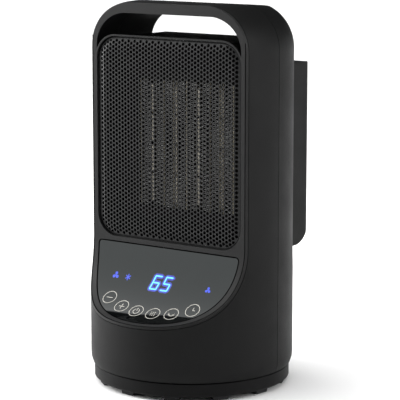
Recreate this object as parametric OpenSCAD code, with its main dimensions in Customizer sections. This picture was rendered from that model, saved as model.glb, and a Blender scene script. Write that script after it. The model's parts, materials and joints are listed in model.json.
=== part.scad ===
// Oscillating tabletop ceramic heater: a round tower with a flat face cut into its front,
// a carrying handle through its top and an intake housing on its back, standing on a turntable.
// +Z is up, -Y is the front, +X is to the right looking at the front.

/* [Tower] */
// Radius of the round tower
body_r = 90; // [86:1:96]
// Height of the top of the handle above the floor
body_top_z = 336; // [330:1:342]
// Height of the lower edge of the tower
body_bottom_z = 17; // [17:0.5:18]
// Rounding of the top edge
top_round = 39; // [36:1:42]
// Radius of the shallow crown across the top
crown_r = 490; // [400:10:600]
// How far forward the crest of the crown lies
crest_y = -20; // [-24:1:-10]
// Depth of the flat front face
face_y = -36; // [-38:0.5:-35]
// Depth of the flat rear face
rear_y = 41; // [40:0.5:43]
// Depth of the joint between the front and rear shells
seam_y = 3; // [2:0.5:4]
// Width of the groove between the two shells
seam_gap = 0.5; // [0.3:0.1:0.8]
// Wall thickness of the shells
wall = 2.6; // [2.2:0.1:3]
// Height where the flat faces turn into the concave sweeps
sweep_z = 130.3; // [128:0.5:133]
// Radius of the concave sweeps
sweep_r = 67; // [65:0.5:68]

/* [Handle] */
// Thickness of the bar above the hand opening
bar_t = 9.2; // [8:0.2:11]
// Thickness of the handle's side walls
handle_side_t = 4.7; // [4:0.1:6]
// Rounding of the upper corners of the hand opening
handle_round = 29.5; // [27:0.5:31]
// Height of the rim below the hand opening
rim_z = 307.3; // [306:0.1:309]

/* [Front] */
// Thickness of the front frame
frame_t = 2.2; // [2:0.1:2.6]
// Groove between the front frame and the front shell
frame_gap = 0.5; // [0.3:0.1:0.8]
// Half the width of the outlet opening
outlet_half_w = 77.3; // [76:0.1:78]
// Lower edge of the outlet opening
outlet_z0 = 127.9; // [127:0.1:130]
// Thickness of the rim above the outlet
rim_t = 1.5; // [1.2:0.1:2.5]
// Corner rounding of the outlet opening
outlet_round = 20; // [18:0.5:22]
// Gap around the grille
grille_gap = 1.6; // [1.2:0.1:2]
// Pitch of the grille's openings down a column
grille_pitch = 7.2; // [7:0.2:10]
// Diameter of a grille opening
grille_hole_d = 5.4; // [4:0.1:6]
// Radius of the control lens about the tower's axis
lens_r = 84.4; // [82:0.2:85]
// Top edge of the control lens
lens_top_z = 123.3; // [122:0.1:124]
// Thickness of the control lens
lens_t = 2; // [1.6:0.1:2.2]

/* [Intake housing] */
// Half the width of the housing
box_half_w = 63; // [60:0.5:64]
// Depth of its rear face
box_y = 93.5; // [90:0.5:94]
// Height of its lower face
box_z0 = 116; // [112:1:120]
// Height of its upper face
box_z1 = 281; // [276:1:284]

/* [Heating block] */
// Width of the fins and tubes
block_w = 104; // [100:1:108]
// Height of the fins and tubes
block_h = 114; // [110:1:120]
// Depth of the fins and tubes
block_d = 15; // [12:0.5:16]
// Height of the middle of the block
block_z = 210; // [210:1:216]
// Number of heating tubes
tube_count = 4; // [3:1:5]

/* [Fan] */
// Radius of the impeller at its blade tips
fan_r = 58; // [54:1:58]
// Number of blades
blade_count = 7; // [5:1:9]
// Blade angle to the plane of rotation
blade_angle = 35; // [25:1:38]

/* [Turntable] */
// Radius of the base ring
base_r = 87; // [86:0.5:88]
// Height of the rubber feet
foot_h = 4; // [3.5:0.1:4]
// Number of feet
foot_count = 12; // [8:1:12]
// Radius of the hollow pivot post
post_r = 15; // [14:0.5:16]
// Outer diameter of the mains lead that the gland holds
lead_d = 6.2; // [5.4:0.2:6.2]

/* [Hidden] */
$fn = 96;
eps = 0.01;
reach = 240;                                   // longer than the tower is wide
shell_y = face_y + frame_t + frame_gap;        // front of the front shell
duct_y0 = shell_y + wall + 0.2;                // front end of the outlet duct
outlet_z1 = rim_z - rim_t;
outlet_mid_z = (outlet_z0 + outlet_z1) / 2;
outlet_h = outlet_z1 - outlet_z0;
floor_drop = 2.3;                              // handle floor below the frame's rim
ledge_drop = 13.6;                             // pocket floors beside the handle, below the rim
run_gap = 0.05;                                // radial clearance of turning shafts
lip_in = 2;                                    // how far the tower's lower edge is drawn in
lip_h = 10;
bore_y = 1;                                    // how far a cut runs past what it cuts
base_top_z = body_bottom_z - 1;
base_wall = 2.5;
base_top_t = 3;
cover_t = 2.5;
cover_z = foot_h + cover_t;                    // inner face of the base cover
post_top_z = 36;
post_bore_r = 9;
quarter_turns = [45:90:315];                   // four places round the base
third_turns = [30:120:270];                    // three places round the post
base_screw_ring = 72;
gear_screw_ring = 12;
ballast_r = 52;
ballast_bore_r = 24;
ballast_t = 5;
slide_r = 70;
slide_bore_r = 62;
slide_t = 1.1;
gear_m = 2;
sector_teeth = 36;                             // on the full circle of the fixed sector
pinion_teeth = 12;
gear_h = 6;
addendum = 0.9 * gear_m;
dedendum = 1.25 * gear_m;
backlash = 0.25;
pitch_r = gear_m * sector_teeth / 2;
pinion_r = gear_m * pinion_teeth / 2;
drive_y = pitch_r + pinion_r;
press_angle = 25;
screw_r = 1.5;
screw_head_r = 2.9;
screw_head_h = 2;
screw_free_r = screw_r + 0.2;                  // clearance hole
pin_screw_r = 1.25;                            // small screws of the gear and the drive motor
pin_head_r = 2.4;
pin_head_h = 1.6;
boss_r = 4;
rib_t = 2;
rib_len = 20;
rib_end_x = body_r - wall - 1.9;               // inside the shell's wall
shell_screw_x = 66;
shell_screw_z = [48, 100];
shell_boss_y = [55, 46.5];
floor_z = body_bottom_z + 0.2;
floor_t = 2.8;
floor_top_z = floor_z + floor_t;
ear_x = 21;                                    // sweep motor's ears
ear_z = 44;
ear_t = 1.2;
ear_r = 4;
drive_r = 17.5;                                // sweep motor's case
drive_len = 20;
pin_r = 2.5;                                   // sweep motor's shaft
pinion_z = post_top_z - 0.2;
shroud_y = 12;
shroud_t = 2;
shroud_gap = 3;                                // between the blade tips and the shroud
shroud_wall = 2.5;
mount_y = 36.2;
can_y = 40;
can_len = 30;
can_r = 26;
can_wall = 1.5;
core_inset = 6;                                // from the can's ends to the stator and rotor
rotor_r = 14.5;
stator_bore_r = 15;
bush_r = 6;
bush_len = 4;
shaft_r = 3;
hub_r = 17;
hub_y = [21, 35];
blade_t = 1.6;
blade_w = 24;
button_x = [-45, -27, -9, 9, 27, 45];
lead_z = 9.9;
gland_r = lead_d / 2 + 1;
gland_y0 = base_r - 7.8;                       // inner end of the gland
gland_nose = 5.6;                              // how far the gland stands out of the base
plunger_x = -44;                               // also its Y
plunger_r = 3;
panel_z0 = sweep_z - sweep_r - 20;             // below the lens
panel_half_w = sqrt(lens_r * lens_r - face_y * face_y);
panel_round = 4;                               // upper corners of the lens
panel_gap = 0.5;                               // between the lens and the frame
housing_gap = 0.1;                             // between the intake housing and the rear shell
housing_screw_x = box_half_w - 5.8;
housing_screw_z = [box_z0 + 32, box_z1 - 11];
board_angle = 45;                              // tilt of the control board
board_depth = 9.8;                             // control board below the sweep's surface
board_r = sweep_r + board_depth;
lens_back_r = sweep_r + 0.2 + lens_t;

// ---------- helpers ----------

// Extrudes a (Y, Z) outline along X, centred
module along_x(length) {
    rotate([90, 0, 90]) linear_extrude(length, center = true) children();
}

// Extrudes an (X, Z) outline along Y, from y0 to y1
module along_y(y0, y1) {
    translate([0, y1, 0]) rotate([90, 0, 0]) linear_extrude(y1 - y0) children();
}

// A cylinder along Y from y0 to y1
module rod_y(x, z, r, y0, y1) {
    translate([x, y0, z]) rotate([-90, 0, 0]) cylinder(r = r, h = y1 - y0);
}

// Rectangle with four rounded corners, centred
module rounded_rect(w, h, r) {
    square([w - 2 * r, h], center = true);
    square([w, h - 2 * r], center = true);
    for (x = [-1, 1], y = [-1, 1])
        translate([x * (w / 2 - r), y * (h / 2 - r)]) circle(r);
}

// Everything behind the front face, at a given depth below its surface
module behind_face(depth) {
    translate([face_y + depth, sweep_z - eps]) square([reach, reach]);
    difference() {
        translate([-reach / 2, -eps]) square([reach, sweep_z]);
        translate([face_y - sweep_r, sweep_z]) circle(sweep_r + depth);
    }
}

// Everything in front of the front face, and of a given depth below its surface
module front_cut(depth) {
    translate([-reach, sweep_z]) square([reach + face_y + depth, reach]);
    translate([face_y - sweep_r, sweep_z]) circle(sweep_r + depth);
}

// Everything behind the rear face, and of a given depth below its surface
module rear_cut(depth) {
    translate([rear_y - depth, sweep_z]) square([reach, reach]);
    translate([rear_y + sweep_r, sweep_z]) circle(sweep_r + depth);
}

// Everything above the crown, and of a given depth below it
module crown_cut(depth) {
    difference() {
        translate([-reach, body_top_z - top_round]) square([2 * reach, reach]);
        translate([crest_y, body_top_z - crown_r]) circle(crown_r - depth, $fn = 360);
    }
}

// Half section of the tower's outside
module body_profile() {
    side_top = body_top_z - top_round;
    polygon([
        [0, body_bottom_z], [body_r - lip_in, body_bottom_z],
        [body_r - 0.15 * lip_in, body_bottom_z + lip_h / 2],
        [body_r, body_bottom_z + lip_h], [body_r, side_top], [0, side_top]
    ]);
    translate([0, side_top - 1]) square([body_r - top_round, top_round + 1]);
    intersection() {
        translate([body_r - top_round, side_top]) circle(top_round);
        translate([0, side_top - 1]) square([body_r, top_round + 1]);
    }
}

// Upper outline of the outlet, which is also the floor of the hand opening
module floor_outline(drop, side) {
    half_w = outlet_half_w + rim_t - side;
    r = outlet_round + rim_t - side;
    top = rim_z - drop;
    translate([-half_w + r, 0]) square([2 * (half_w - r), top]);
    translate([-half_w, 0]) square([2 * half_w, top - r]);
    for (x = [-1, 1])
        translate([x * (half_w - r), top - r]) circle(r);
    translate([-reach / 2, 0]) square([reach, rim_z - ledge_drop - drop]);
}

// Space of the hand opening, from front to back
module handle_space(drop, side) {
    r = body_r - handle_side_t;
    top = body_top_z - bar_t;
    difference() {
        rotate_extrude() {
            translate([0, sweep_z]) square([r - handle_round, top - sweep_z]);
            translate([0, sweep_z]) square([r, top - handle_round - sweep_z]);
            translate([r - handle_round, top - handle_round]) circle(handle_round);
        }
        along_x(reach) crown_cut(bar_t);
        along_y(-reach / 2, reach / 2) floor_outline(drop, side);
    }
}

// Room inside the two shells
module cavity() {
    drop = floor_drop + wall;
    difference() {
        rotate_extrude() {
            translate([0, body_bottom_z - 1]) square([body_r - lip_in - wall - 0.4, lip_h]);
            translate([0, body_bottom_z + 6]) square([body_r - wall, rim_z]);
        }
        along_x(reach) front_cut(frame_t + frame_gap + wall);
        along_x(reach) rear_cut(wall);
        along_y(-reach / 2, reach / 2) difference() {
            translate([-reach / 2, rim_z / 2]) square([reach, reach]);
            floor_outline(drop, drop);
        }
    }
}

// The tower's outside, from a depth below the front face, between two planes across it
module tower(front_depth, y0, y1) {
    difference() {
        rotate_extrude() body_profile();
        along_x(reach) front_cut(front_depth);
        along_x(reach) rear_cut(0);
        along_x(reach) crown_cut(0);
        translate([-reach / 2, y0 - reach, 0]) cube([reach, reach, 2 * reach]);
        translate([-reach / 2, y1, 0]) cube([reach, reach, 2 * reach]);
    }
}

// Screw boss from y0 to y1 on one side, with a rib to the wall beside the seam
module screw_boss(side, z, y0, y1) {
    rib_y = y0 < seam_y ? seam_y - seam_gap / 2 - rib_len : seam_y + seam_gap / 2;
    rib_x = side > 0 ? shell_screw_x : -rib_end_x;
    rod_y(side * shell_screw_x, z, boss_r, y0, y1);
    translate([rib_x, rib_y, z - rib_t / 2]) cube([rib_end_x - shell_screw_x, rib_len, rib_t]);
}

// Pan-head screw along Y, its head at the rear
module screw_y(x, z, y_head, length) {
    rod_y(x, z, screw_r, y_head - length, y_head);
    rod_y(x, z, screw_head_r, y_head, y_head + screw_head_h);
}

// Pan-head screw along Z, with its head at z_head, pointing up or down
module screw_z(x, y, z_head, length, up, r, head_r) {
    translate([x, y, up ? z_head : z_head - length]) cylinder(r = r, h = length);
    translate([x, y, up ? z_head - pin_head_h : z_head]) cylinder(r = head_r, h = pin_head_h);
}

// Involute function, in degrees
function inv(a) = tan(a) * 180 / PI - a;

// Half angle of a gear tooth at radius r
function tooth_half(r, teeth, slack) =
    let (rp = gear_m * teeth / 2, rb = rp * cos(press_angle))
    90 / teeth + inv(press_angle) - (r > rb ? inv(acos(rb / r)) : 0) - slack / rp * 90 / PI;

// Outline of one tooth along +X, from inside the root circle to the tip
module tooth(teeth, slack) {
    rp = gear_m * teeth / 2;
    root = rp - dedendum;
    tip = rp + addendum;
    start = max(root, rp * cos(press_angle));
    steps = 5;
    radii = [for (i = [0:steps]) start + (tip - start) * i / steps];
    right = [for (r = radii) [r * cos(tooth_half(r, teeth, slack)), -r * sin(tooth_half(r, teeth, slack))]];
    left = [for (i = [steps:-1:0]) [right[i][0], -right[i][1]]];
    foot = root - 1;
    foot_half = tooth_half(start, teeth, slack);
    polygon(concat(
        [[foot * cos(foot_half), -foot * sin(foot_half)]], right,
        left, [[foot * cos(foot_half), foot * sin(foot_half)]]
    ));
}

// ---------- base ----------

module base_shell() color("#1f2022") difference() {
    edge_cut = 0.6;
    union() {
        difference() {
            rotate_extrude() polygon([
                [0, foot_h], [base_r - 2 * edge_cut, foot_h], [base_r, foot_h + 2 * edge_cut],
                [base_r, base_top_z - edge_cut], [base_r - edge_cut, base_top_z], [0, base_top_z]
            ]);
            translate([0, 0, foot_h - 1])
                cylinder(r = base_r - base_wall, h = base_top_z - base_top_t - foot_h + 1);
        }
        translate([0, 0, cover_z]) cylinder(r = post_r + 3, h = base_top_z - cover_z);
        translate([0, 0, cover_z]) cylinder(r = post_r, h = post_top_z - cover_z);
        for (a = quarter_turns)
            rotate(a) translate([base_screw_ring, 0, cover_z])
                cylinder(r = boss_r, h = base_top_z - 2 - cover_z);
    }
    translate([0, 0, cover_z - 1]) cylinder(r = post_bore_r, h = post_top_z);
    for (a = quarter_turns)
        rotate(a) translate([base_screw_ring, 0, foot_h]) cylinder(r = screw_r, h = 8.5);
    for (a = third_turns)
        rotate(a) translate([gear_screw_ring, 0, post_top_z - 9]) cylinder(r = pin_screw_r, h = 10);
    rod_y(0, lead_z, gland_r, gland_y0, base_r + 2);
    rod_y(0, lead_z, gland_r + 0.8, gland_y0 - 0.2, gland_y0 + 2.2);
}

module base_cover() color("#17181a") difference() {
    head_room = 1.8;
    translate([0, 0, foot_h]) cylinder(r = base_r - base_wall - 0.3, h = cover_t);
    for (a = quarter_turns) rotate(a) translate([base_screw_ring, 0, foot_h - 1]) {
        cylinder(r = screw_free_r, h = 2 * cover_t + 1);
        cylinder(r = screw_head_r + 0.3, h = head_room + 1);
    }
    translate([plunger_x, plunger_x, foot_h - 1]) cylinder(r = plunger_r + run_gap, h = 2 * cover_t + 1);
    rod_y(0, lead_z, gland_r + 0.8, gland_y0 - 0.2, base_r);
}

// One foot, narrower at the floor
module foot_pad() {
    half_low = 6.6;
    half_high = 7.8;
    rotate([90, 0, 90]) linear_extrude(9)
        polygon([[-half_low, 0], [half_low, 0], [half_high, foot_h], [-half_high, foot_h]]);
}

module rubber_feet() color("#0f0f10") {
    turn = -6.5;
    ring = 74;
    for (i = [0:foot_count - 1])
        rotate(i * 360 / foot_count + turn) translate([ring, 0, 0]) foot_pad();
}

module base_screws() color("#8d9094") {
    for (a = quarter_turns)
        rotate(a) screw_z(base_screw_ring, 0, foot_h + 1.8, 7, true, screw_r, screw_head_r);
}

module ballast_ring() color("#6f7275") translate([0, 0, cover_z]) difference() {
    cylinder(r = ballast_r, h = ballast_t);
    translate([0, 0, -1]) cylinder(r = ballast_bore_r, h = ballast_t + 2);
}

module slide_ring() color("#e4e2da") translate([0, 0, base_top_z]) difference() {
    cylinder(r = slide_r, h = slide_t);
    translate([0, 0, -1]) cylinder(r = slide_bore_r, h = slide_t + 2);
}

module sector_gear() color("#d9d6cb") translate([0, 0, post_top_z]) difference() {
    linear_extrude(gear_h) {
        circle(pitch_r - dedendum);
        for (i = [-6:6])
            rotate(90 + i * 360 / sector_teeth) tooth(sector_teeth, backlash);
    }
    translate([0, 0, -1]) cylinder(r = post_bore_r, h = gear_h + 2);
    for (a = third_turns)
        rotate(a) translate([gear_screw_ring, 0, -1]) cylinder(r = pin_screw_r, h = gear_h + 2);
}

module gear_screws() color("#8d9094") {
    for (a = third_turns)
        rotate(a) screw_z(gear_screw_ring, 0, post_top_z + gear_h, 13, false, pin_screw_r, pin_head_r);
}

module cord_gland() color("#141415") difference() {
    union() {
        rod_y(0, lead_z, gland_r, gland_y0, base_r);
        translate([0, base_r, lead_z]) rotate([-90, 0, 0])
            cylinder(r1 = gland_r + 1, r2 = gland_r + 0.2, h = gland_nose);
        rod_y(0, lead_z, gland_r + 0.6, gland_y0, gland_y0 + 2);
    }
    rod_y(0, lead_z, lead_d / 2, gland_y0 - 1, base_r + gland_nose + 1);
}

// Tilt switch: its case, and the lever that the plunger lifts
module tip_switch() color("#3c3f44") {
    roof_z = base_top_z - base_top_t;
    translate([-66, -45, cover_z]) cube([17, 10, roof_z - 0.4 - cover_z]);
    translate([-50, -46, roof_z - 0.9]) cube([8, 4, 0.4]);
}

module tip_plunger() color("#c9c5b8") translate([plunger_x, plunger_x, 0]) {
    translate([0, 0, 0.05]) cylinder(r = plunger_r, h = 11);
    translate([0, 0, cover_z + 4.1]) cylinder(r = plunger_r + 1.5, h = 1.2);
}

// ---------- tower ----------

module head_floor() color("#1b1c1e") difference() {
    union() {
        translate([0, 0, floor_z]) cylinder(r = body_r - lip_in - wall - 0.7, h = floor_t);
        translate([0, 0, body_bottom_z + 1]) cylinder(r = post_r + 4, h = post_top_z - body_bottom_z - 1.4);
        for (x = [-ear_x, ear_x])
            translate([x, drive_y, floor_top_z - 1]) cylinder(r = ear_r - 0.2, h = ear_z - floor_top_z + 1);
    }
    translate([0, 0, body_bottom_z - 1]) cylinder(r = post_r + run_gap, h = post_top_z);
    for (x = [-ear_x, ear_x])
        translate([x, drive_y, ear_z - 10]) cylinder(r = pin_screw_r, h = 12);
}

// Outline of the control lens seen from the front, grown by a given width
module panel_outline(grow) {
    h = 100;
    translate([0, lens_top_z + grow - h / 2]) rounded_rect(2 * (panel_half_w + grow), h, panel_round + grow);
}

module front_shell() color("#2a2b2d") difference() {
    duct_edge = 2.7;
    union() {
        difference() {
            tower(frame_t + frame_gap, -reach / 2, seam_y - seam_gap / 2);
            cavity();
            handle_space(floor_drop, floor_drop);
        }
        for (x = [-1, 1], z = shell_screw_z)
            screw_boss(x, z, seam_y - 26, seam_y - seam_gap / 2);
    }
    for (x = [-1, 1], z = shell_screw_z)
        rod_y(x * shell_screw_x, z, screw_r, seam_y - 14, seam_y + 2);
    along_y(shell_y - 1, shell_y + wall + 1) translate([0, outlet_mid_z - 1])
        rounded_rect(2 * (outlet_half_w - duct_edge), outlet_h - 2 * duct_edge, outlet_round - duct_edge);
    translate([0, 0, panel_z0]) cylinder(r = lens_r - 6, h = lens_top_z - 4 - panel_z0);
}

module rear_shell() color("#2c2d2f") difference() {
    head_y = seam_y + 8;
    union() {
        difference() {
            tower(0, seam_y + seam_gap / 2, reach / 2);
            cavity();
            handle_space(floor_drop, floor_drop);
        }
        for (x = [-1, 1], i = [0, 1])
            screw_boss(x, shell_screw_z[i], seam_y + seam_gap / 2, shell_boss_y[i]);
    }
    for (x = [-1, 1], z = shell_screw_z) {
        rod_y(x * shell_screw_x, z, screw_free_r, seam_y - 1, reach / 2);
        rod_y(x * shell_screw_x, z, screw_head_r + 0.4, head_y, reach / 2);
    }
    along_y(rear_y - wall - 1, rear_y + 1) translate([0, (box_z0 + box_z1) / 2 + 2])
        rounded_rect(2 * box_half_w - 22, box_z1 - box_z0 - 18, 8);
    for (x = [-1, 1], z = housing_screw_z)
        rod_y(x * housing_screw_x, z, screw_free_r, rear_y - wall - 1, rear_y + 1);
}

module shell_screws() color("#8d9094") {
    for (x = [-1, 1], z = shell_screw_z)
        screw_y(x * shell_screw_x, z, seam_y + 8, 20);
}

// The frame's outline runs round the hand opening, the outlet and the control lens
module front_frame() color("#3b3c3e") difference() {
    intersection() {
        tower(0, -reach / 2, 0);
        along_x(reach) difference() {
            front_cut(frame_t);
            front_cut(0);
        }
    }
    handle_space(0, 0);
    along_y(face_y - 1, face_y + frame_t + 1)
        translate([0, outlet_mid_z]) rounded_rect(2 * outlet_half_w, outlet_h, outlet_round);
    intersection() {
        translate([0, 0, panel_z0]) cylinder(r = lens_r + panel_gap, h = reach);
        along_y(-reach / 2, 0) panel_outline(panel_gap);
    }
}

// Perforated sheet with a narrow rim folded back round its edge
module outlet_grille() color("#3d3e40") {
    sheet_t = 0.8;
    sheet_y = face_y + 0.3;
    edge_web = 1.5;
    w = 2 * (outlet_half_w - grille_gap);
    h = outlet_h - 2 * grille_gap;
    r = outlet_round - grille_gap;
    hole_r = grille_hole_d / 2;
    step_x = grille_pitch * sqrt(3) / 2;
    columns = floor((w / 2 - 5) / step_x);
    rows = floor((h / 2 - 5) / grille_pitch);
    translate([0, 0, outlet_mid_z]) {
        along_y(sheet_y, sheet_y + sheet_t) difference() {
            rounded_rect(w, h, r);
            for (i = [-columns:columns], j = [-rows:rows]) {
                x = i * step_x;
                z = (j + (i % 2 == 0 ? 0 : 0.5)) * grille_pitch;
                inset_x = max(0, abs(x) - (w / 2 - r));
                inset_z = max(0, abs(z) - (h / 2 - r));
                inside = norm([inset_x, inset_z]) < r - hole_r - edge_web
                    && abs(z) < h / 2 - hole_r - edge_web;
                if (inside)
                    translate([x, z]) circle(hole_r, $fn = 24);
            }
        }
        along_y(sheet_y + sheet_t, face_y + frame_t + frame_gap) difference() {
            rounded_rect(w, h, r);
            rounded_rect(w - 2 * sheet_t, h - 2 * sheet_t, r - sheet_t);
        }
    }
}

module control_lens() color("#08090a") difference() {
    lens_drop = 0.2;
    intersection() {
        translate([0, 0, panel_z0]) cylinder(r = lens_r, h = reach);
        along_y(-reach / 2, 0) panel_outline(0);
    }
    along_x(reach) front_cut(lens_drop);
    along_x(reach) behind_face(lens_drop + lens_t);
}

// Places its children on the control sweep, at an angle below the horizontal, looking outwards
module on_sweep(angle, depth) {
    translate([0, face_y - sweep_r, sweep_z]) rotate([-angle, 0, 0]) translate([0, sweep_r + depth, 0])
        rotate([90, 0, 0]) children();
}

// Place of a touch spring down the control board: the row of buttons dips in the middle
function spring_y(x) = -21.2 + 13 * pow(x / button_x[5], 2);

// Room between the control board and the back of the lens, at a distance from the board's middle
function lens_room(y) = board_r - sqrt(pow(lens_back_r, 2) - pow(y, 2));

module control_board() color("#1d5a36") on_sweep(board_angle, board_depth) translate([0, 0, -1.6])
    linear_extrude(1.6) rounded_rect(112, 50, 3);

module display_module() color("#101114") {
    w = 30;
    h = 16;
    y = 14;
    thick = lens_room(y - h / 2) - 0.2;
    on_sweep(board_angle, board_depth) translate([0, y, thick / 2]) cube([w, h, thick], center = true);
}

module touch_springs() color("#b9bbbf") {
    r = 3.5;
    wire = 0.8;
    for (x = button_x) {
        y = spring_y(x);
        h = lens_room(abs(y) - r) - 0.1;
        on_sweep(board_angle, board_depth) translate([x, y, 0]) difference() {
            cylinder(r = r, h = h);
            translate([0, 0, -1]) cylinder(r = r - wire, h = h + 2);
        }
    }
}

// ---------- heating block ----------

module outlet_duct() color("#131416") {
    duct_wall = 1.8;
    w = 2 * outlet_half_w - 8.4;
    z0 = outlet_z0 + 4;
    z1 = outlet_z1 - 4.6;
    mid = (z0 + z1) / 2;
    r = outlet_round - 3;
    inner_w = w - 2 * duct_wall;
    inner_h = z1 - z0 - 2 * duct_wall;
    along_y(duct_y0, shroud_y) translate([0, mid]) difference() {
        rounded_rect(w, z1 - z0, r);
        rounded_rect(inner_w, inner_h, r - duct_wall);
    }
    along_y(-2, 0) difference() {
        translate([0, mid]) rounded_rect(inner_w, inner_h, r - duct_wall);
        translate([0, block_z]) square([block_w + 12, block_h + 20], center = true);
    }
}

module heater_frame() color("#26241f") difference() {
    bar = 5.6;
    seat = 0.2;
    translate([0, 0, block_z]) along_y(-9, 11) difference() {
        square([block_w + 2 * (seat + bar), block_h + 2 * (seat + bar + 4)], center = true);
        square([block_w + 2 * seat, block_h + 2 * seat], center = true);
    }
    for (x = tube_x)
        translate([x, tab_y, block_z - block_h / 2 - 5]) cube([tab_t + 0.4, tab_w + 0.6, 14], center = true);
}

tube_pitch = 0.96 * block_w / tube_count;
tube_x = [for (i = [0:tube_count - 1]) (i - (tube_count - 1) / 2) * tube_pitch];
tube_w = 4.4;
tube_wall = 0.7;
plate_w = 1.4;
plate_x = [for (i = [0:tube_count]) (i - tube_count / 2) * tube_pitch];
tab_y = 4;                                   // depth of the terminal tabs
tab_len = 18.5;
tab_t = 0.8;
tab_w = 6.3;
cutout_x = tube_pitch;
cutout_z = block_z + block_h / 2 + 17.5;

// Flat tubes that hold the ceramic stones, with the plain plates between them
module ptc_tubes() color("#8a8170") translate([0, 0, block_z]) along_y(-block_d / 2, block_d / 2) {
    for (x = tube_x) translate([x, 0]) difference() {
        square([tube_w, block_h], center = true);
        square([tube_w - 2 * tube_wall, block_h + 2], center = true);
    }
    for (x = plate_x) translate([x, 0]) square([plate_w, block_h], center = true);
}

module ceramic_stones() color("#d8d2c4") {
    stone_h = 24;
    stone_gap = 2.5;
    seat = 0.05;
    for (x = tube_x, i = [-1.5:1.5])
        translate([x, 0, block_z + i * (stone_h + stone_gap)])
            cube([tube_w - 2 * (tube_wall + seat), block_d - 2, stone_h], center = true);
}

// One strip of corrugated fin, of a given width and height
module fin_strip(strip_w, strip_h) {
    folds = 19;
    t = 0.8;
    side = [for (i = [0:folds]) [(i % 2 == 0 ? -strip_w / 2 : strip_w / 2 - t), (i / folds - 0.5) * strip_h]];
    polygon(concat(side, [for (i = [folds:-1:0]) [side[i][0] + t, side[i][1]]]));
}

module heater_fins() color("#b4b1a8") translate([0, 0, block_z]) {
    half_d = block_d / 2 - 0.5;
    strip_w = (tube_pitch - tube_w - plate_w) / 2;
    along_y(-half_d, half_d) for (x = tube_x, side = [-1, 1])
        translate([x + side * (tube_w + strip_w) / 2, 0]) fin_strip(strip_w, block_h - 1);
}

module heater_terminals() color("#c2a14c") {
    for (x = tube_x)
        translate([x, tab_y, block_z - (block_h + tab_len) / 2]) cube([tab_t, tab_w, tab_len], center = true);
}

// Disc thermostat on its bracket, above the block and behind the duct's inner plate
module thermal_cutout() color("#c7c9cb") {
    rod_y(cutout_x, cutout_z, 6.2, 1.5, 7.3);
    translate([cutout_x, 4.5, cutout_z]) cube([22, 0.8, 6], center = true);
}

module thermal_fuse() color("#d7c9a0") translate([-12, 5, block_z + block_h / 2 + 14])
    rotate([0, 90, 0]) {
        fuse_len = 14;
        lead_len = 8;
        cylinder(r = 2, h = fuse_len);
        translate([0, 0, -lead_len]) cylinder(r = 0.6, h = fuse_len + 2 * lead_len);
    }

// ---------- fan ----------

module fan_shroud() color("#1a1b1d") {
    throat_r = fan_r + shroud_gap;
    along_y(shroud_y, shroud_y + shroud_t) difference() {
        translate([0, outlet_mid_z]) rounded_rect(144, outlet_h - 12, 14);
        translate([0, block_z]) circle(throat_r);
    }
    along_y(shroud_y + shroud_t, mount_y) translate([0, block_z]) difference() {
        circle(throat_r + shroud_wall);
        circle(throat_r);
    }
}

// Plate that carries the fan motor, on four arms across the shroud
module motor_mount() color("#1c1d20") translate([0, 0, block_z]) difference() {
    arm_len = fan_r + 5;
    arm_w = 8;
    arm_t = 2;
    union() {
        rod_y(0, 0, can_r + 1, mount_y, can_y - 0.2);
        for (a = quarter_turns)
            rotate([0, a, 0]) translate([arm_len / 2, mount_y + arm_t / 2, 0])
                cube([arm_len, arm_t, arm_w], center = true);
    }
    rod_y(0, 0, 8, mount_y - bore_y, can_y + bore_y);
}

module motor_can() color("#9a9da1") translate([0, 0, block_z]) difference() {
    end_t = 2;
    rod_y(0, 0, can_r, can_y, can_y + can_len);
    rod_y(0, 0, can_r - can_wall, can_y + end_t, can_y + can_len - end_t);
    rod_y(0, 0, bush_r, can_y - bore_y, can_y + can_len + bore_y);
}

module motor_stator() color("#5e6064") translate([0, 0, block_z]) difference() {
    rod_y(0, 0, can_r - can_wall, can_y + core_inset, can_y + can_len - core_inset);
    rod_y(0, 0, stator_bore_r, can_y + bore_y, can_y + can_len - bore_y);
}

module motor_bushes() color("#b58b3c") translate([0, 0, block_z]) {
    for (y = [can_y, can_y + can_len - bush_len]) difference() {
        rod_y(0, 0, bush_r, y, y + bush_len);
        rod_y(0, 0, shaft_r + run_gap, y - bore_y, y + bush_len + bore_y);
    }
}

module motor_shaft() color("#c8cacc") rod_y(0, block_z, shaft_r, hub_y[0] - 4, can_y + can_len + 2);

module motor_rotor() color("#7b7e83") translate([0, 0, block_z]) difference() {
    rod_y(0, 0, rotor_r, can_y + core_inset, can_y + can_len - core_inset);
    rod_y(0, 0, shaft_r, can_y, can_y + can_len);
}

module impeller() color("#33363a") translate([0, 0, block_z]) difference() {
    root_r = hub_r - 2;
    mid_y = (hub_y[0] + hub_y[1]) / 2;
    union() {
        rod_y(0, 0, hub_r, hub_y[0], hub_y[1]);
        for (i = [0:blade_count - 1])
            rotate([0, i * 360 / blade_count, 0]) translate([(fan_r + root_r) / 2, mid_y, 0])
                rotate([blade_angle, 0, 0]) cube([fan_r - root_r, blade_t, blade_w], center = true);
    }
    rod_y(0, 0, root_r - 0.4, hub_y[0] + 2.5, hub_y[1] + bore_y);
    rod_y(0, 0, shaft_r, hub_y[0] - bore_y, hub_y[1] + bore_y);
}

module impeller_nut() color("#8b2f2a") translate([0, 0, block_z]) difference() {
    rod_y(0, 0, 6, hub_y[0] - 3.5, hub_y[0]);
    rod_y(0, 0, shaft_r, hub_y[0] - 4, hub_y[0] + bore_y);
}

// ---------- intake ----------

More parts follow.
